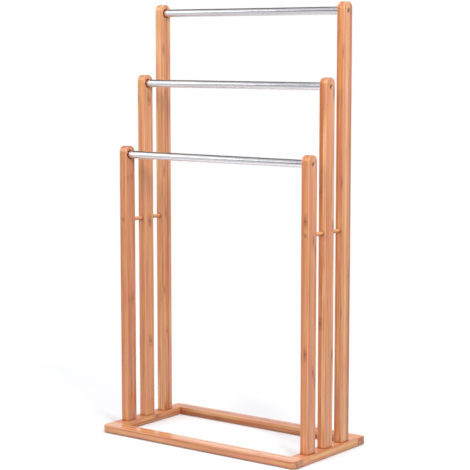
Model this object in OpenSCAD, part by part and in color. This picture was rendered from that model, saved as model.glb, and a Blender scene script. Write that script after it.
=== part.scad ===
// Free-standing towel rack. A flat bamboo base frame carries six bamboo posts, three at each
// end. Three steel tube rails join them in pairs and step up from front to back.
// Millimetres. X runs along the rails, Y from front to back and Z up. The floor is Z = 0, and
// X = Y = 0 is the middle of the base.

/* [Base frame] */
// Width of the base, along the rails
base_w = 496; // [400:1:900]
// Depth of the base, front to back
base_d = 256; // [250:1:340]
// Width of each base member, seen from above
member_w = 30; // [28:1:36]
// Thickness of the base members
member_t = 16; // [14:1:20]
// Radius of the base's outer corners, seen from above
corner_r = 9; // [5:0.5:12]
// Rounding of the base's outer edges
base_edge = 2; // [0.5:0.5:3]
// Rounding of the edges around the base's opening
inner_edge = 1.5; // [0.5:0.5:3]

/* [Posts] */
// Thickness of a post, along the rails
post_w = 18; // [15:0.5:20]
// Depth of a post, front to back
post_d = 30; // [26:1:34]
// Height of the back posts above the floor
rack_h = 900; // [700:1:1200]
// Height lost from each pair of posts to the next one in front
top_step = 147.5; // [60:0.5:180]
// Distance between neighbouring posts, centre to centre
post_pitch = 60; // [50:1:70]
// Distance from the base's end to the outer face of the posts
post_inset = 7; // [6:0.5:8]
// Radius of the arched shoulders on top of a post
shoulder_r = 12.5; // [8:0.5:12.5]
// Rounding of the posts' long edges
post_edge = 2.5; // [1:0.5:4]

/* [Rails] */
// Outside diameter of a rail
rail_d = 16; // [12:0.5:18]
// Wall thickness of a rail
rail_wall = 1; // [0.8:0.1:1.5]
// Distance from the top of a post down to its rail's centre
rail_drop = 17.5; // [15:0.5:40]
// Depth of the socket a rail end sits in
socket_depth = 4; // [2:0.5:6]
// Gap around the rail in its socket
socket_gap = 0.9; // [0.1:0.1:1.2]

/* [Cross dowels] */
// Diameter of the dowel that ties a side's three posts
cross_d = 8; // [6:0.5:9]
// Height of that dowel above the floor
cross_z = 449; // [150:1:520]
// How far the dowel's end sits inside the front post's face
cross_recess = 0.8; // [0:0.1:2]

/* [Fittings] */
// Thickness of the pads under the base
pad_t = 1.2; // [1:0.1:4]
// Diameter of the pads under the base
pad_d = 16; // [12:1:20]
// Thread diameter of the rail screws
rail_screw_d = 5; // [4:0.5:6]
// Length of the rail screws
rail_screw_l = 25; // [20:1:26]
// Head diameter of the rail screws
rail_head_d = 10; // [9:0.5:12]

/* [Hidden] */
$fn = 96;
half_w = base_w / 2;
half_d = base_d / 2;
base_z = pad_t;
base_top = base_z + member_t;
post_x = half_w - post_inset - post_w / 2;
inner_x = post_x - post_w / 2;
outer_x = post_x + post_w / 2;
tops = [rack_h - 2 * top_step, rack_h - top_step, rack_h];
rows = [-post_pitch, 0, post_pitch];
socket_r = rail_d / 2 + socket_gap;
rail_end = inner_x + socket_depth;
plug_r = rail_d / 2 - rail_wall;
plug_l = 15.8;
plug_recess = 0.2;
head_sink = 0.8;
head_rim = 0.5;
head_r = rail_head_d / 2;
rail_clear_r = rail_screw_d / 2 + 0.25;
mouth_r = head_r + 0.6;
foot_screw_r = 2.5;
foot_head_r = 5;
foot_clear_r = 2.7;
foot_screw_l = 53.4;
foot_sink = 0.6;
foot_rim = 0.4;
foot_offset = 8;
foot_dowel_r = 3;
foot_dowel_low = base_top - 11;
foot_dowel_high = base_top + 17;
corner_dowel_r = 3;
corner_dowel_reach = 18;
dowel_play = 0.5;
pad_x = half_w - member_w / 2;
pad_y = half_d - member_w / 2;
cross_blind = 15;
cross_mouth = 1;
socket_mouth = 0.6;
bamboo = [0.80, 0.55, 0.38];
bamboo_light = [0.86, 0.64, 0.45];
steel = [0.78, 0.78, 0.80];
zinc = [0.62, 0.62, 0.64];
bronze = [0.22, 0.15, 0.11];
rubber = [0.12, 0.12, 0.12];

// ---- Base frame ----

// Section of a base member: 0 is the outer face, w the inner one. An inner rounding of 0
// leaves the inner edges square.
module member_section(w, h, r_out, r_in) {
    translate([r_out, 0])
        square([w - r_out - r_in, h]);
    translate([0, r_out])
        square([r_out, h - 2 * r_out]);
    translate([r_out, r_out])
        circle(r = r_out);
    translate([r_out, h - r_out])
        circle(r = r_out);
    if (r_in > 0) {
        translate([w - r_in, r_in])
            square([r_in, h - 2 * r_in]);
        translate([w - r_in, r_in])
            circle(r = r_in);
        translate([w - r_in, h - r_in])
            circle(r = r_in);
    }
}

// A length of base member along X, outer face towards -Y.
module member_x(x0, x1, r_in) {
    translate([x0, -half_d, base_z])
        rotate([90, 0, 90])
            linear_extrude(height = x1 - x0)
                member_section(member_w, member_t, base_edge, r_in);
}

// The block that closes a long member's right end, behind its rounded corner.
module member_end() {
    translate([half_w - corner_r, -half_d + member_w, base_z])
        rotate([90, 0, 0])
            linear_extrude(height = member_w - corner_r)
                translate([corner_r, 0])
                    mirror([1, 0])
                        member_section(corner_r, member_t, base_edge, 0);
}

// The rounded outer corner at a long member's right end.
module member_corner() {
    translate([half_w - corner_r, -half_d + corner_r, base_z])
        rotate([0, 0, -90])
            rotate_extrude(angle = 90)
                translate([corner_r, 0])
                    mirror([1, 0])
                        member_section(corner_r, member_t, base_edge, 0);
}

// Two holes for the dowels of the right corner joint, along Y.
module corner_holes(reach) {
    for (x = [half_w - member_w + 8, half_w - 8])
        translate([x, -half_d + member_w - reach, base_z + member_t / 2])
            rotate([-90, 0, 0])
                cylinder(r = corner_dowel_r, h = 2 * reach);
}

module long_member() {
    color(bamboo)
        difference() {
            union() {
                member_x(-half_w + member_w, half_w - member_w, inner_edge);
                for (s = [0, 1])
                    mirror([s, 0, 0]) {
                        member_x(half_w - member_w, half_w - corner_r, 0);
                        member_end();
                        member_corner();
                    }
            }
            for (s = [0, 1])
                mirror([s, 0, 0])
                    corner_holes(corner_dowel_reach + dowel_play);
        }
}

// The hole a foot screw passes through in the base, countersunk from below.
module foot_screw_hole() {
    cylinder(r = foot_clear_r, h = member_t + 1);
    cylinder(r = foot_head_r, h = foot_sink + foot_rim);
    translate([0, 0, foot_sink + foot_rim])
        cylinder(r1 = foot_head_r, r2 = foot_clear_r, h = foot_head_r - foot_clear_r);
}

module end_member() {
    color(bamboo)
        difference() {
            translate([half_w, half_d - member_w, base_z])
                rotate([90, 0, 0])
                    linear_extrude(height = base_d - 2 * member_w)
                        mirror([1, 0])
                            member_section(member_w, member_t, base_edge, inner_edge);
            for (s = [0, 1])
                mirror([0, s, 0])
                    corner_holes(corner_dowel_reach + dowel_play);
            for (y = rows) {
                translate([post_x, y - foot_offset, base_z])
                    foot_screw_hole();
                translate([post_x, y + foot_offset, foot_dowel_low - dowel_play])
                    cylinder(r = foot_dowel_r, h = 20);
            }
        }
}

module base_front_rail() { long_member(); }
module base_back_rail() { mirror([0, 1, 0]) long_member(); }
module base_left_end() { mirror([1, 0, 0]) end_member(); }
module base_right_end() { end_member(); }

module corner_dowels() {
    color(bamboo_light)
        for (sx = [0, 1])
            for (sy = [0, 1])
                mirror([sx, 0, 0])
                    mirror([0, sy, 0])
                        corner_holes(corner_dowel_reach);
}

// ---- Posts ----

// Rectangle with rounded corners, centred.
module rounded_rect(w, h, r) {
    square([w, h - 2 * r], center = true);
    square([w - 2 * r, h], center = true);
    for (sx = [-1, 1])
        for (sy = [-1, 1])
            translate([sx * (w / 2 - r), sy * (h / 2 - r)])
                circle(r = r);
}

// Section through the arched top of a post: x runs outwards from the arch's axis and y
// across the post's thickness. Only the outer edges are rounded.
module arch_section(reach) {
    translate([0, -post_w / 2])
        square([reach - post_edge, post_w]);
    translate([0, -post_w / 2 + post_edge])
        square([reach, post_w - 2 * post_edge]);
    for (s = [-1, 1])
        translate([reach - post_edge, s * (post_w / 2 - post_edge)])
            circle(r = post_edge);
}

// A plain post, centred on X = Y = 0, from the top of the base to the given height.
module post_blank(top) {
    translate([0, 0, base_top])
        linear_extrude(height = top - shoulder_r - base_top)
            rounded_rect(post_w, post_d, post_edge);
    for (s = [0, 1])
        mirror([0, s, 0])
            translate([0, post_d / 2 - shoulder_r, top - shoulder_r])
                rotate([0, -90, 0])
                    rotate_extrude(angle = 90)
                        arch_section(shoulder_r);
    translate([0, post_d / 2 - shoulder_r, top - shoulder_r])
        rotate([0, -90, 0])
            rotate([90, 0, 0])
                linear_extrude(height = post_d - 2 * shoulder_r)
                    arch_section(shoulder_r);
}

// Everything cut from a right-hand post for its rail: the socket on the inner face with its
// chamfered mouth, the screw's hole, its countersink and the small chamfer round its mouth.
module rail_cuts() {
    rotate([0, 90, 0]) {
        translate([0, 0, -post_w / 2 - 1])
            cylinder(r = socket_r, h = socket_depth + 1);
        translate([0, 0, -post_w / 2])
            cylinder(r1 = socket_r + socket_mouth, r2 = socket_r, h = socket_mouth);
        translate([0, 0, -post_w / 2])
            cylinder(r = rail_clear_r, h = post_w);
        translate([0, 0, post_w / 2 - head_sink - head_rim])
            cylinder(r = head_r, h = head_sink + head_rim + 1);
        translate([0, 0, post_w / 2 - head_sink - head_rim - (head_r - rail_clear_r)])
            cylinder(r1 = rail_clear_r, r2 = head_r, h = head_r - rail_clear_r);
        translate([0, 0, post_w / 2 - head_sink])
            cylinder(r1 = head_r, r2 = mouth_r, h = head_sink);
    }
}

// The two holes in a post's foot, for its screw and its dowel.
module foot_cuts() {
    translate([0, -foot_offset, base_top - 1])
        cylinder(r = foot_screw_r, h = foot_screw_l - member_t + foot_sink + 1.5);
    translate([0, foot_offset, base_top - 1])
        cylinder(r = foot_dowel_r, h = foot_dowel_high - base_top + dowel_play + 1);
}

// A hole for the cross dowel, from one Y to another.
module cross_hole(y0, y1) {
    translate([0, y0, cross_z])
        rotate([-90, 0, 0])
            cylinder(r = cross_d / 2, h = y1 - y0);
}

// A right-hand post in row 0, 1 or 2, counted from the front.
module right_post(row) {
    color(bamboo)
        translate([post_x, rows[row], 0])
            difference() {
                post_blank(tops[row]);
                translate([0, 0, tops[row] - rail_drop])
                    rail_cuts();
                foot_cuts();
                if (row < 2)
                    cross_hole(-post_d / 2 - 1, post_d / 2 + 1);
                if (row == 2)
                    cross_hole(-post_d / 2 - 1, -post_d / 2 + cross_blind + dowel_play);
                if (row == 0)
                    translate([0, -post_d / 2, cross_z])
                        rotate([-90, 0, 0])
                            cylinder(r1 = cross_d / 2 + cross_mouth, r2 = cross_d / 2, h = cross_mouth);
            }
}

module post_front_right() { right_post(0); }
module post_middle_right() { right_post(1); }
module post_back_right() { right_post(2); }
module post_front_left() { mirror([1, 0, 0]) right_post(0); }
module post_middle_left() { mirror([1, 0, 0]) right_post(1); }
module post_back_left() { mirror([1, 0, 0]) right_post(2); }

module cross_dowel_right() {
    y0 = rows[0] - post_d / 2 + cross_recess;
    y1 = rows[2] - post_d / 2 + cross_blind;
    color(bamboo_light)
        translate([post_x, y0, cross_z])
            rotate([-90, 0, 0])
                cylinder(r = cross_d / 2, h = y1 - y0);
}

module cross_dowel_left() { mirror([1, 0, 0]) cross_dowel_right(); }

module foot_dowels() {
    color(bamboo_light)
        for (s = [0, 1])
            mirror([s, 0, 0])
                for (y = rows)
                    translate([post_x, y + foot_offset, foot_dowel_low])
                        cylinder(r = foot_dowel_r, h = foot_dowel_high - foot_dowel_low);
}

// ---- Rails and their fittings ----

module rail(row) {
    color(steel)
        translate([0, rows[row], tops[row] - rail_drop])
            rotate([0, 90, 0])
                difference() {
                    cylinder(r = rail_d / 2, h = 2 * rail_end, center = true);
                    cylinder(r = plug_r, h = 2 * rail_end + 2, center = true);
                }
}

module rail_front() { rail(0); }
module rail_middle() { rail(1); }
module rail_back() { rail(2); }

// The threaded plug in a rail's right end.
module right_plug(row) {
    color(zinc)
        translate([rail_end - plug_recess - plug_l, rows[row], tops[row] - rail_drop])
            rotate([0, 90, 0])
                difference() {
                    cylinder(r = plug_r, h = plug_l);
                    translate([0, 0, -1])
                        cylinder(r = rail_screw_d / 2, h = plug_l + 2);
                }
}

module rail_plug_front_right() { right_plug(0); }
module rail_plug_middle_right() { right_plug(1); }
module rail_plug_back_right() { right_plug(2); }
module rail_plug_front_left() { mirror([1, 0, 0]) right_plug(0); }
module rail_plug_middle_left() { mirror([1, 0, 0]) right_plug(1); }
module rail_plug_back_left() { mirror([1, 0, 0]) right_plug(2); }

// A countersunk screw with a hexagon socket. Its head's top is at Z = 0 and its shank
// points down.
module socket_screw(r, head, rim, length, across, depth) {
    difference() {
        union() {
            translate([0, 0, -rim])
                cylinder(r = head, h = rim);
            translate([0, 0, -rim - (head - r)])
                cylinder(r1 = r, r2 = head, h = head - r);
            translate([0, 0, -length])
                cylinder(r = r, h = length - rim);
        }
        translate([0, 0, -depth])
            cylinder(r = across / 2 / cos(30), h = depth + 1, $fn = 6);
    }
}

module right_screw(row) {
    color(bronze)
        translate([outer_x - head_sink, rows[row], tops[row] - rail_drop])
            rotate([0, 90, 0])
                socket_screw(rail_screw_d / 2, head_r, head_rim, rail_screw_l, 3, 2.4);
}

module rail_screw_front_right() { right_screw(0); }
module rail_screw_middle_right() { right_screw(1); }
module rail_screw_back_right() { right_screw(2); }
module rail_screw_front_left() { mirror([1, 0, 0]) right_screw(0); }
module rail_screw_middle_left() { mirror([1, 0, 0]) right_screw(1); }
module rail_screw_back_left() { mirror([1, 0, 0]) right_screw(2); }

module foot_screws_right() {
    color(zinc)
        for (y = rows)
            translate([post_x, y - foot_offset, base_z + foot_sink])
                rotate([180, 0, 0])
                    socket_screw(foot_screw_r, foot_head_r, foot_rim, foot_screw_l, 3, 2);
}

module foot_screws_left() { mirror([1, 0, 0]) foot_screws_right(); }

// ---- Pads ----

module pad(sx, sy) {
    color(rubber)
        translate([sx * pad_x, sy * pad_y, 0])
            cylinder(r = pad_d / 2, h = pad_t);
}

module foot_pad_front_left() { pad(-1, -1); }
module foot_pad_front_right() { pad(1, -1); }
module foot_pad_back_left() { pad(-1, 1); }
module foot_pad_back_right() { pad(1, 1); }

base_front_rail();
base_back_rail();
base_left_end();
base_right_end();
post_front_left();
post_front_right();
post_middle_left();
post_middle_right();
post_back_left();
post_back_right();
cross_dowel_left();
cross_dowel_right();
corner_dowels();
foot_dowels();
rail_front();
rail_middle();
rail_back();
rail_plug_front_left();
rail_plug_front_right();
rail_plug_middle_left();
rail_plug_middle_right();
rail_plug_back_left();
rail_plug_back_right();
rail_screw_front_left();
rail_screw_front_right();
rail_screw_middle_left();
rail_screw_middle_right();
rail_screw_back_left();
rail_screw_back_right();
foot_screws_left();
foot_screws_right();
foot_pad_front_left();
foot_pad_front_right();
foot_pad_back_left();
foot_pad_back_right();
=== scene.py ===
import math

import bmesh
import bpy
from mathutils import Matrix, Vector


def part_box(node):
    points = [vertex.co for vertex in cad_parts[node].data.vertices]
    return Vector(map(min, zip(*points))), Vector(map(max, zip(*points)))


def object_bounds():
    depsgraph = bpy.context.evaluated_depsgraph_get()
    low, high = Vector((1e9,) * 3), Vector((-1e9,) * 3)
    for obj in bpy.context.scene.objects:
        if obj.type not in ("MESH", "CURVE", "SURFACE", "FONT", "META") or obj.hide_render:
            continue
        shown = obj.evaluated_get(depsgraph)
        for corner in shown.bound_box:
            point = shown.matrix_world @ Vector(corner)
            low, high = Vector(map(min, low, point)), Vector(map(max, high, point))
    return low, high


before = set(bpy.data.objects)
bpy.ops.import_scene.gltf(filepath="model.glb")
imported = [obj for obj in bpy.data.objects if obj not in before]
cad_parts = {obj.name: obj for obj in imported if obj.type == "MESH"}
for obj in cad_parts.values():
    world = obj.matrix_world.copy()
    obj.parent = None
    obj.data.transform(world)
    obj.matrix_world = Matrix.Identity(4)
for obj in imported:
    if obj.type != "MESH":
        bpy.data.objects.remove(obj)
cad_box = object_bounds()

# Camera, in metres and degrees. It looks from the right of the front and slightly down.
CAMERA_PLACE = (1.911, -2.519, 0.8128)
CAMERA_AZIMUTH = 37.08
CAMERA_PITCH = 6.95
CAMERA_LENS_MM = 118.6
SENSOR_MM = 36.0

# Floor disc, in metres: solid up to FLOOR_CLEAR_FROM and faded out at FLOOR_CLEAR_TO.
FLOOR_RADIUS = 1.10
FLOOR_CLEAR_FROM = 0.50
FLOOR_CLEAR_TO = 0.98 * FLOOR_RADIUS
FLOOR_RINGS = 12
FLOOR_SIDES = 96
FLOOR_TONES = ((0.76, 0.765, 0.77), (0.78, 0.785, 0.79))

# Square area lights: place and side in metres, power in watts, and whether steel mirrors them.
LIGHTS = {
    "key": ((1.7, -1.0, 1.6), 0.7, 38.0, True),
    "fill": ((-1.2, -2.6, 2.0), 1.8, 37.0, False),
    "top": ((0.0, 0.2, 2.9), 2.0, 26.0, True),
}

# The studio's own light on matt surfaces, by direction.
LIGHT_ABOVE = 0.90
LIGHT_AROUND = 0.72
LIGHT_BELOW = 0.26
STUDIO_TINT = (0.97, 0.97, 1.0, 1.0)

# What polished surfaces mirror: in front a low wall, a panel over it and the space over that, each
# with its brightness at the left and at the right. MIRRORED_TURN is where left becomes right.
MIRRORED_WALL = (1.15, 0.10)
MIRRORED_PANEL = (4.00, 0.82)
MIRRORED_HIGH = (1.15, 0.74)
MIRRORED_TURN = (-0.633, -0.600)
WALL_TOP = (0.20, 0.30)
PANEL_TOP = (0.42, 0.56)

# Behind and below it is plain, with a dark band across the back.
MIRRORED_BEHIND = 1.15
MIRRORED_BELOW = 0.80
BAND_DEPTH = 0.90
BAND_FOOT = (0.26, 0.36)
BAND_TOP = (0.92, 0.80)

# Laminated bamboo, in metres.
STRIP_WIDTH = 0.0060
LAYER_DEPTH = 0.0078
SEAM_WIDTH = 0.00035
KNUCKLE_PITCH = 0.26
KNUCKLE_LINE = 0.0016
KNUCKLE_SMUDGE = 0.020
EDGE_SOFTNESS = 0.0012
# How far the painted shade in corners and beside other pieces reaches.
PAINTED_SHADE_REACH = 0.010
JOINT_LINE = 0.0004
BAMBOO_RELIEF = 0.00016

# Noise drawn out along the fibres: its fineness across and along, its detail and its shift.
CLOUDS = (90.0, 7.0, 2.0, 0.0)
STREAKS = (480.0, 6.0, 3.0, 2.0)
FIBRES = (1500.0, 22.0, 3.0, 4.0)
PORES = (2600.0, 75.0, 1.0, 6.0)
END_CELLS = 1100.0

BAMBOO_TONES = (
    (0.00, (0.440, 0.128, 0.037)),
    (0.18, (0.560, 0.192, 0.055)),
    (0.36, (0.610, 0.202, 0.104)),
    (0.54, (0.620, 0.284, 0.078)),
    (0.72, (0.680, 0.242, 0.130)),
    (0.88, (0.690, 0.345, 0.110)),
    (1.00, (0.775, 0.405, 0.196)),
)
BAMBOO_STREAK = (0.330, 0.090, 0.028)
BAMBOO_PALE = (0.800, 0.435, 0.228)
BAMBOO_KNUCKLE = (0.170, 0.048, 0.016)
BAMBOO_SEAM = (0.250, 0.080, 0.030)
BAMBOO_END = (0.330, 0.140, 0.072)
BAMBOO_PORE = (0.120, 0.040, 0.016)
# Rubbed edges, and a painted highlight on the rounded arrises.
BAMBOO_WORN_AND_HIGHLIGHT = (0.680, 0.340, 0.180)
# Painted shade: the wood darkens to this in corners and beside other pieces.
BAMBOO_PAINTED_SHADE = (0.210, 0.048, 0.014)

# How much darker end grain is: on the arched tops of the posts, and on the base's sanded ends.
END_TONE_CROWN = 0.42
END_TONE_BASE = 0.20

# Each member's seed for its pattern, its shade against the others, and the weight of its lacquer.
# The shade is partly the member's own tone and partly painted light and shade, as each is lit.
MEMBERS = {
    "base_front_rail": (4.6, 0.00, 0.8),
    "base_back_rail": (2.9, -0.16, 0.4),
    "base_left_end": (6.1, -0.08, 0.2),
    "base_right_end": (5.2, 0.00, 0.2),
    "post_front_left": (6.8, -0.06, 0.6),
    "post_front_right": (5.2, 0.02, 0.6),
    "post_middle_left": (10.7, 0.09, 0.6),
    "post_middle_right": (2.9, -0.02, 0.6),
    "post_back_left": (6.1, 0.06, 0.6),
    "post_back_right": (8.3, -0.05, 0.6),
}

# The same for every dowel. Each is turned from one strip that is wider than it.
DOWEL = (3.0, -0.30, 0.2)
DOWEL_STRIP = 0.05

# Steel tube: its own two tones, and the painted shade and reflection it darkens to in its socket.
STEEL_TONES = ((0.80, 0.79, 0.81), (0.68, 0.67, 0.695))
STEEL_PAINTED_SOCKET_SHADE = (0.260, 0.170, 0.130)
SOCKET_SHADE = 0.003

# Screws: the finish where light, where dark and where rubbed, and its least and most roughness.
DARK_SCREW = ((0.50, 0.31, 0.19), (0.34, 0.20, 0.12), (0.70, 0.50, 0.35), 0.30, 0.42)
ZINC_PLATED = ((0.62, 0.63, 0.65), (0.48, 0.49, 0.51), (0.78, 0.78, 0.78), 0.24, 0.38)
SCREW_EDGE = 0.0004
METAL_RELIEF = 0.00003

RUBBER_TONES = ((0.060, 0.058, 0.056), (0.125, 0.120, 0.112))
RUBBER_RELIEF = 0.00008


class Tree:
    """A node tree, with a short call for each kind of node used here."""

    def __init__(self, tree):
        self.nodes = tree.nodes
        self.links = tree.links

    def feed(self, socket, value):
        if isinstance(value, bpy.types.NodeSocket):
            self.links.new(value, socket)
        else:
            socket.default_value = value

    def add(self, kind, inputs=None, **settings):
        node = self.nodes.new(kind)
        for name, value in settings.items():
            setattr(node, name, value)
        for key, value in (inputs or {}).items():
            self.feed(node.inputs[key], value)
        return node

    def math(self, operation, a, b=0.0):
        return self.add("ShaderNodeMath", {0: a, 1: b}, operation=operation).outputs[0]

    def step(self, value, start, end, low=0.0, high=1.0):
        """Turns smoothly from low to high as value goes from start to end."""
        inputs = {0: value, 1: start, 2: end, 3: low, 4: high}
        node = self.add("ShaderNodeMapRange", inputs, interpolation_type="SMOOTHSTEP")
        return node.outputs[0]

    def between(self, factor, a, b):
        """Goes from number a to number b as factor goes from 0 to 1."""
        return self.add("ShaderNodeMix", {0: factor, 2: a, 3: b}).outputs[0]

    def split(self, vector):
        """A vector's three coordinates."""
        return list(self.add("ShaderNodeSeparateXYZ", {0: vector}).outputs)

    def vector(self, x, y, z):
        return self.add("ShaderNodeCombineXYZ", {0: x, 1: y, 2: z}).outputs[0]


class Shader(Tree):
    """A material's node tree, around its Principled shader."""

    def __init__(self, name):
        self.material = bpy.data.materials.new(name)
        self.material.use_nodes = True
        super().__init__(self.material.node_tree)
        self.surface = self.nodes["Principled BSDF"]

    def set(self, **inputs):
        """Feeds the Principled shader's sockets; an underscore stands for a space."""
        for name, value in inputs.items():
            self.feed(self.surface.inputs[name.replace("_", " ")], value)

    def place(self):
        """The surface point in metres, as its three coordinates."""
        return self.split(self.add("ShaderNodeTexCoord").outputs["Object"])

    def normal(self):
        """The surface normal's three coordinates."""
        return self.split(self.add("ShaderNodeTexCoord").outputs["Normal"])

    def noise(self, vector, scale=1.0, detail=2.0, roughness=0.5):
        inputs = {"Vector": vector, "Scale": scale, "Detail": detail, "Roughness": roughness}
        return self.add("ShaderNodeTexNoise", inputs).outputs["Fac"]

    def chance(self, vector):
        """Three random numbers for each whole-number vector."""
        return self.split(self.add("ShaderNodeTexWhiteNoise", {"Vector": vector}).outputs["Color"])

    def ramp(self, value, stops):
        node = self.add("ShaderNodeValToRGB", {0: value})
        elements = node.color_ramp.elements
        while len(elements) < len(stops):
            elements.new(0.5)
        for element, (position, colour) in zip(elements, stops):
            element.position = position
            element.color = (*colour, 1.0)
        return node.outputs[0]

    def mix(self, factor, a, b):
        """Mixes two colours; a plain colour is given as three numbers."""
        node = self.add("ShaderNodeMix", data_type="RGBA")
        self.feed(node.inputs["Factor"], factor)
        for socket, value in ((node.inputs[6], a), (node.inputs[7], b)):
            self.feed(socket, (*value, 1.0) if isinstance(value, tuple) else value)
        return node.outputs[2]

    def edges(self, radius):
        """Near 1 on an edge sharper than radius and 0 on a flat face."""
        soft = self.add("ShaderNodeBevel", {"Radius": radius}, samples=6).outputs[0]
        true = self.add("ShaderNodeNewGeometry").outputs["Normal"]
        dot = self.add("ShaderNodeVectorMath", {0: soft, 1: true}, operation="DOT_PRODUCT")
        return self.step(dot.outputs["Value"], 0.995, 0.90)

    def corners(self, reach):
        """Near 1 in a corner or beside another piece and 0 in the open: the mask for painted
        shade.
        """
        inputs = {"Distance": reach}
        open_air = self.add("ShaderNodeAmbientOcclusion", inputs, samples=12).outputs["AO"]
        return self.step(open_air, 0.92, 0.32)

    def bump(self, height, distance):
        inputs = {"Height": height, "Distance": distance}
        self.set(Normal=self.add("ShaderNodeBump", inputs).outputs[0])


class Bamboo(Shader):
    """The masks of laminated bamboo: strips side by side along a CAD node's length, in layers."""

    def __init__(self, node, seed, strip, layer):
        super().__init__("bamboo_" + node)
        low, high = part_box(node)
        middle = (low + high) / 2
        self.seed = seed
        self.strip = strip
        self.layer = layer
        self.size = high - low
        self.thin, self.wide, self.along = sorted(range(3), key=lambda axis: self.size[axis])
        point = self.place()
        self.offset = [self.math("SUBTRACT", point[axis], middle[axis]) for axis in range(3)]
        self.facing = [self.math("ABSOLUTE", turned) for turned in self.normal()]
        self.length = self.math("ADD", self.offset[self.along], seed * 1.7)
        self.lay_strips()
        self.clouds = self.drawn(*CLOUDS)
        self.streaks = self.drawn(*STREAKS)
        self.fibres = self.drawn(*FIBRES)
        self.pores = self.step(self.drawn(*PORES), 0.60, 0.74)

    def lay_strips(self):
        """Counts strips of slightly uneven width and draws three random numbers for each."""
        row = self.math("DIVIDE", self.offset[self.wide], self.strip)
        row = self.math("ADD", row, 20.5 + self.seed)
        drift = self.noise(self.vector(row, self.seed * 3.1, 0.0), scale=0.9, detail=0.0)
        deck = self.math("DIVIDE", self.offset[self.thin], self.layer)
        self.row = self.math("ADD", row, self.math("MULTIPLY", drift, 0.9))
        self.deck = self.math("ADD", deck, 20.0 + self.seed)
        row_number = self.math("FLOOR", self.row)
        deck_number = self.math("FLOOR", self.deck)
        numbers = self.chance(self.vector(row_number, deck_number, self.seed * 5.3))
        self.tone, self.phase, self.spare = numbers

    def drawn(self, across, lengthways, detail, shift):
        """Noise drawn out along the length, at another place in each strip."""
        spots = [None, None, None]
        spots[self.thin] = self.math("MULTIPLY", self.offset[self.thin], across)
        spots[self.wide] = self.math("MULTIPLY", self.offset[self.wide], across)
        along = self.math("MULTIPLY", self.length, lengthways)
        spots[self.along] = self.math("ADD", along, self.math("MULTIPLY", self.phase, 9.0 + shift))
        return self.noise(self.vector(*spots), detail=detail, roughness=0.6)

    def knuckles(self):
        """Knuckle marks on some strips: a fine line across, and a smudge along the fibres."""
        turn = self.math("DIVIDE", self.length, KNUCKLE_PITCH)
        turn = self.math("ADD", turn, self.math("MULTIPLY", self.spare, 6.0))
        away = self.math("ABSOLUTE", self.math("SUBTRACT", self.math("FRACT", turn), 0.5))
        away = self.math("MULTIPLY", away, KNUCKLE_PITCH)
        ragged = self.step(self.fibres, 0.2, 0.8, -KNUCKLE_LINE, KNUCKLE_LINE)
        away = self.math("ADD", away, ragged)
        present = self.step(self.phase, 0.64, 0.68)
        line = self.step(away, 1.8 * KNUCKLE_LINE, 0.4 * KNUCKLE_LINE)
        line = self.math("MULTIPLY", line, present)
        smudge = self.step(away, KNUCKLE_SMUDGE, 0.1 * KNUCKLE_SMUDGE)
        streaky = self.step(self.streaks, 0.35, 0.60, 0.35, 0.90)
        smudge = self.math("MULTIPLY", smudge, streaky)
        return line, self.math("MULTIPLY", smudge, present)

    def seams(self):
        """Glue seams between the strips and between the layers."""
        masks = []
        for count, pitch in ((self.row, self.strip), (self.deck, self.layer)):
            part = self.math("FRACT", count)
            nearest = self.math("MINIMUM", part, self.math("SUBTRACT", 1.0, part))
            masks.append(self.step(nearest, SEAM_WIDTH / pitch, 0.0))
        return self.math("MAXIMUM", *masks)

    def end_grain(self):
        """Cut ends and the crowns of the arched tops, and the open pores in them."""
        cut = self.step(self.facing[self.along], 0.45, 0.95)
        across = self.vector(self.offset[self.thin], self.offset[self.wide], 0.0)
        voronoi = self.add("ShaderNodeTexVoronoi", {"Vector": across, "Scale": END_CELLS})
        holes = self.step(voronoi.outputs["Distance"], 0.42, 0.20)
        return cut, self.math("MULTIPLY", holes, cut)

    def wear_and_highlight(self):
        """Rubbed edges with a painted highlight on the rounded arrises, and the joints at the
        piece's ends.
        """
        from_middle = self.math("ABSOLUTE", self.offset[self.along])
        to_end = self.math("SUBTRACT", self.size[self.along] / 2, from_middle)
        joint = self.step(to_end, 2.0 * JOINT_LINE, JOINT_LINE)
        # Painted highlight: the rounded arrises between the thin and wide faces are lightened.
        turned = self.math("MULTIPLY", self.facing[self.thin], self.facing[self.wide])
        rounded_highlight = self.step(turned, 0.10, 0.45)
        rubbed_and_highlit = self.math("MAXIMUM", self.edges(EDGE_SOFTNESS), rounded_highlight)
        worn = self.math("MULTIPLY", rubbed_and_highlit, self.step(self.clouds, 0.30, 0.70, 0.20, 0.65))
        off_end = self.step(to_end, EDGE_SOFTNESS, 2.0 * EDGE_SOFTNESS)
        return self.math("MULTIPLY", worn, off_end), joint


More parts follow.
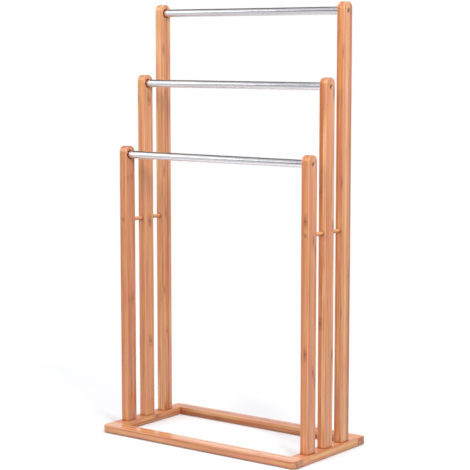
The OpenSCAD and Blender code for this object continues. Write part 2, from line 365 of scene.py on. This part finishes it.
def bamboo(node, seed, shade, gloss, strip=STRIP_WIDTH, layer=LAYER_DEPTH):
    """Lacquered laminated bamboo: each strip with its own tone, fibres, pores and a knuckle mark
    now and then, seams between them, end grain on the cut ends, rubbed edges with a painted
    highlight on the rounded arrises, and painted shade in the corners and beside other pieces."""
    s = Bamboo(node, seed, strip, layer)
    line, smudge = s.knuckles()
    seams = s.seams()
    cut, holes = s.end_grain()
    worn, joint = s.wear_and_highlight()
    standing = s.along == 2
    end_tone = END_TONE_CROWN if standing else END_TONE_BASE

    # A member's shade shifts its tone: partly its own tone, partly painted light and shade.
    tone = s.math("ADD", s.tone, s.step(s.clouds, 0.3, 0.7, -0.22 + shade, 0.22 + shade))
    colour = s.ramp(tone, BAMBOO_TONES)
    coats = (
        (s.step(s.streaks, 0.52, 0.72, 0.0, 0.65), BAMBOO_STREAK),
        (s.step(s.streaks, 0.46, 0.28, 0.0, 0.55), BAMBOO_PALE),
        (s.step(s.fibres, 0.45, 0.75, 0.0, 0.30), BAMBOO_STREAK),
        (s.math("MULTIPLY", s.pores, 0.20), BAMBOO_KNUCKLE),
        (smudge, BAMBOO_STREAK),
        (s.math("MULTIPLY", line, 0.40), BAMBOO_KNUCKLE),
        (s.math("MULTIPLY", seams, 0.50), BAMBOO_SEAM),
        (s.math("MULTIPLY", cut, end_tone), BAMBOO_END),
        (s.math("MULTIPLY", holes, end_tone), BAMBOO_PORE),
        # Rubbed edges, and a painted highlight on the rounded arrises.
        (worn, BAMBOO_WORN_AND_HIGHLIGHT),
        (s.math("MULTIPLY", joint, 0.40), BAMBOO_SEAM),
        # Painted shade: darker in corners and where another piece stands close.
        (s.math("MULTIPLY", s.corners(PAINTED_SHADE_REACH), 0.85), BAMBOO_PAINTED_SHADE),
    )
    for mask, tint in coats:
        colour = s.mix(mask, colour, tint)

    rough = s.step(s.clouds, 0.2, 0.8, 0.27, 0.40)
    for mask, rise in ((s.fibres, 0.08), (cut, 0.12)):
        rough = s.math("ADD", rough, s.math("MULTIPLY", mask, rise))
    height = s.math("MULTIPLY", s.fibres, 0.35)
    for mask, rise in ((s.pores, -0.25), (seams, -0.30), (line, 0.40), (holes, -0.35)):
        height = s.math("ADD", height, s.math("MULTIPLY", mask, rise))
    s.bump(height, BAMBOO_RELIEF)
    s.set(Base_Color=colour, Roughness=rough, IOR=1.5, Coat_Weight=gloss, Coat_Roughness=0.16)
    return s.material


def steel():
    """Polished stainless tube: fine marks drawn along it, faint smears, and painted shade in its
    sockets.
    """
    s = Shader("stainless_tube")
    x, y, z = s.place()
    along = s.math("MULTIPLY", x, 18.0)
    around = [s.math("MULTIPLY", part, 2600.0) for part in (y, z)]
    marks = s.noise(s.vector(along, *around), detail=3.0, roughness=0.6)
    smears = s.noise(s.vector(x, y, z), scale=28.0, detail=3.0, roughness=0.55)
    shine = s.mix(s.step(marks, 0.35, 0.75), *STEEL_TONES)
    # Painted shade and reflection: the tube turns brown where it stands in its socket.
    shaded = s.math("MULTIPLY", s.corners(SOCKET_SHADE), 0.90)
    shine = s.mix(shaded, shine, STEEL_PAINTED_SOCKET_SHADE)
    rough = s.step(smears, 0.3, 0.75, 0.085, 0.17)
    rough = s.math("ADD", rough, s.math("MULTIPLY", marks, 0.05))
    s.bump(marks, METAL_RELIEF)
    s.set(Base_Color=shine, Metallic=1.0, Roughness=rough)
    return s.material


def fastener(name, light, dark, worn, rough_low, rough_high):
    """A plated or blackened screw: mottled finish with the metal showing on its edges."""
    s = Shader(name)
    point = s.vector(*s.place())
    mottle = s.noise(point, scale=900.0, detail=3.0, roughness=0.6)
    grain = s.noise(point, scale=4200.0)
    finish = s.mix(s.step(mottle, 0.35, 0.65), dark, light)
    rub = s.math("MULTIPLY", s.edges(SCREW_EDGE), s.step(mottle, 0.3, 0.6, 0.25, 0.8))
    rough = s.step(mottle, 0.3, 0.7, rough_low, rough_high)
    s.bump(grain, METAL_RELIEF)
    s.set(Base_Color=s.mix(rub, finish, worn), Metallic=1.0, Roughness=rough)
    return s.material


def rubber():
    """Grey non-slip pad: matt, pebbled and dusty in patches."""
    s = Shader("pad_rubber")
    point = s.vector(*s.place())
    pebble = s.noise(point, scale=2400.0)
    dust = s.noise(point, scale=260.0, detail=3.0)
    tint = s.mix(s.step(dust, 0.45, 0.75), *RUBBER_TONES)
    s.bump(pebble, RUBBER_RELIEF)
    s.set(Base_Color=tint, Roughness=s.step(dust, 0.3, 0.7, 0.62, 0.82))
    return s.material


def floor_paint():
    """Pale matt floor that fades out towards its rim, and is clear from below."""
    s = Shader("studio_floor")
    x, y, z = s.place()
    flat = s.vector(x, y, 0.0)
    reach = s.add("ShaderNodeVectorMath", {0: flat}, operation="LENGTH").outputs["Value"]
    speckle = s.noise(s.vector(x, y, z), scale=60.0, detail=3.0)
    s.set(Base_Color=s.mix(speckle, *FLOOR_TONES), Roughness=0.75)
    under = s.add("ShaderNodeNewGeometry").outputs["Backfacing"]
    clear = s.math("MAXIMUM", s.step(reach, FLOOR_CLEAR_FROM, FLOOR_CLEAR_TO), under)
    glass = s.add("ShaderNodeBsdfTransparent").outputs[0]
    both = s.add("ShaderNodeMixShader", {0: clear, 1: s.surface.outputs[0], 2: glass})
    s.links.new(both.outputs[0], s.nodes["Material Output"].inputs["Surface"])
    return s.material


def make_floor(height):
    """A disc in rings. It is left out of the light that reaches the rack."""
    mesh = bmesh.new()
    turns = [math.tau * side / FLOOR_SIDES for side in range(FLOOR_SIDES)]
    rings = []
    for ring in range(1, FLOOR_RINGS + 1):
        radius = FLOOR_RADIUS * ring / FLOOR_RINGS
        points = [(radius * math.cos(t), radius * math.sin(t), height) for t in turns]
        rings.append([mesh.verts.new(point) for point in points])
    mesh.faces.new(rings[0])
    for inner, outer in zip(rings, rings[1:]):
        for side in range(FLOOR_SIDES):
            after = (side + 1) % FLOOR_SIDES
            mesh.faces.new((inner[side], outer[side], outer[after], inner[after]))
    data = bpy.data.meshes.new("studio_floor")
    mesh.to_mesh(data)
    mesh.free()
    data.materials.append(floor_paint())
    floor = bpy.data.objects.new("studio_floor", data)
    bpy.context.scene.collection.objects.link(floor)
    floor.visible_diffuse = False
    floor.visible_shadow = False


def make_camera():
    data = bpy.data.cameras.new("camera")
    data.sensor_width = SENSOR_MM
    data.lens = CAMERA_LENS_MM
    camera = bpy.data.objects.new("camera", data)
    camera.location = CAMERA_PLACE
    tilt = math.radians(90.0 - CAMERA_PITCH)
    camera.rotation_euler = (tilt, 0.0, math.radians(CAMERA_AZIMUTH))
    bpy.context.scene.collection.objects.link(camera)
    bpy.context.scene.camera = camera


def make_light(name, aim, place, side, power, mirrored):
    data = bpy.data.lights.new(name, "AREA")
    data.shape = "RECTANGLE"
    data.size = side
    data.size_y = side
    data.energy = power
    light = bpy.data.objects.new(name, data)
    light.location = place
    light.rotation_euler = (Vector(aim) - Vector(place)).to_track_quat("-Z", "Y").to_euler()
    light.visible_camera = False
    light.visible_glossy = mirrored
    bpy.context.scene.collection.objects.link(light)


def make_world():
    """A white studio. Seen directly it is plain white; matt and polished surfaces each get their
    own light from it, by direction."""
    world = bpy.data.worlds.new("studio")
    world.use_nodes = True
    world.node_tree.nodes.clear()
    w = Tree(world.node_tree)
    x, y, z = w.split(w.add("ShaderNodeTexCoord").outputs["Generated"])
    ray = w.add("ShaderNodeLightPath").outputs

    # Matt surfaces: bright overhead and dim below.
    overhead = w.between(w.step(z, 0.25, 0.60), LIGHT_AROUND, LIGHT_ABOVE)
    soft = w.between(w.step(z, -0.10, 0.0), LIGHT_BELOW, overhead)

    # Polished surfaces: the wall, panel and space over it in front, and the banded back.
    right = w.step(x, *MIRRORED_TURN)
    wall = w.between(right, *MIRRORED_WALL)
    panel = w.between(right, *MIRRORED_PANEL)
    high = w.between(right, *MIRRORED_HIGH)
    upper = w.between(w.step(z, *PANEL_TOP), panel, high)
    front = w.between(w.step(z, *WALL_TOP), wall, upper)
    band = w.step(z, *BAND_FOOT, 0.0, BAND_DEPTH)
    band = w.math("MULTIPLY", band, w.step(z, *BAND_TOP))
    back = w.math("MULTIPLY", MIRRORED_BEHIND, w.math("SUBTRACT", 1.0, band))
    sharp = w.between(w.step(y, -0.25, 0.10), front, back)
    sharp = w.between(w.step(z, 0.80, 0.95), sharp, high)
    sharp = w.between(w.step(z, -0.12, -0.02), MIRRORED_BELOW, sharp)

    level = w.between(ray["Is Glossy Ray"], soft, sharp)
    studio = w.add("ShaderNodeBackground", {0: STUDIO_TINT, 1: level}).outputs[0]
    white = w.add("ShaderNodeBackground", {0: (1.0, 1.0, 1.0, 1.0), 1: 1.0}).outputs[0]
    both = w.add("ShaderNodeMixShader", {0: ray["Is Camera Ray"], 1: studio, 2: white}).outputs[0]
    w.add("ShaderNodeOutputWorld", {0: both})
    bpy.context.scene.world = world


def dress():
    """Gives every CAD node its material."""
    rail = steel()
    screw = fastener("dark_screw", *DARK_SCREW)
    zinc = fastener("zinc_plated", *ZINC_PLATED)
    pad = rubber()
    for name, node in sorted(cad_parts.items()):
        if name.startswith("foot_pad"):
            material = pad
        elif name.startswith("rail_screw"):
            material = screw
        elif name.startswith(("rail_plug", "foot_screws")):
            material = zinc
        elif name in ("rail_front", "rail_middle", "rail_back"):
            material = rail
        elif "dowel" in name:
            material = bamboo(name, *DOWEL, strip=DOWEL_STRIP, layer=DOWEL_STRIP)
        else:
            material = bamboo(name, *MEMBERS[name])
        node.data.materials.clear()
        node.data.materials.append(material)


def build():
    low, high = cad_box
    bpy.context.scene.view_settings.view_transform = "Standard"
    make_camera()
    make_floor(low.z)
    make_world()
    for name, settings in LIGHTS.items():
        make_light(name, (low + high) / 2, *settings)
    dress()


build()
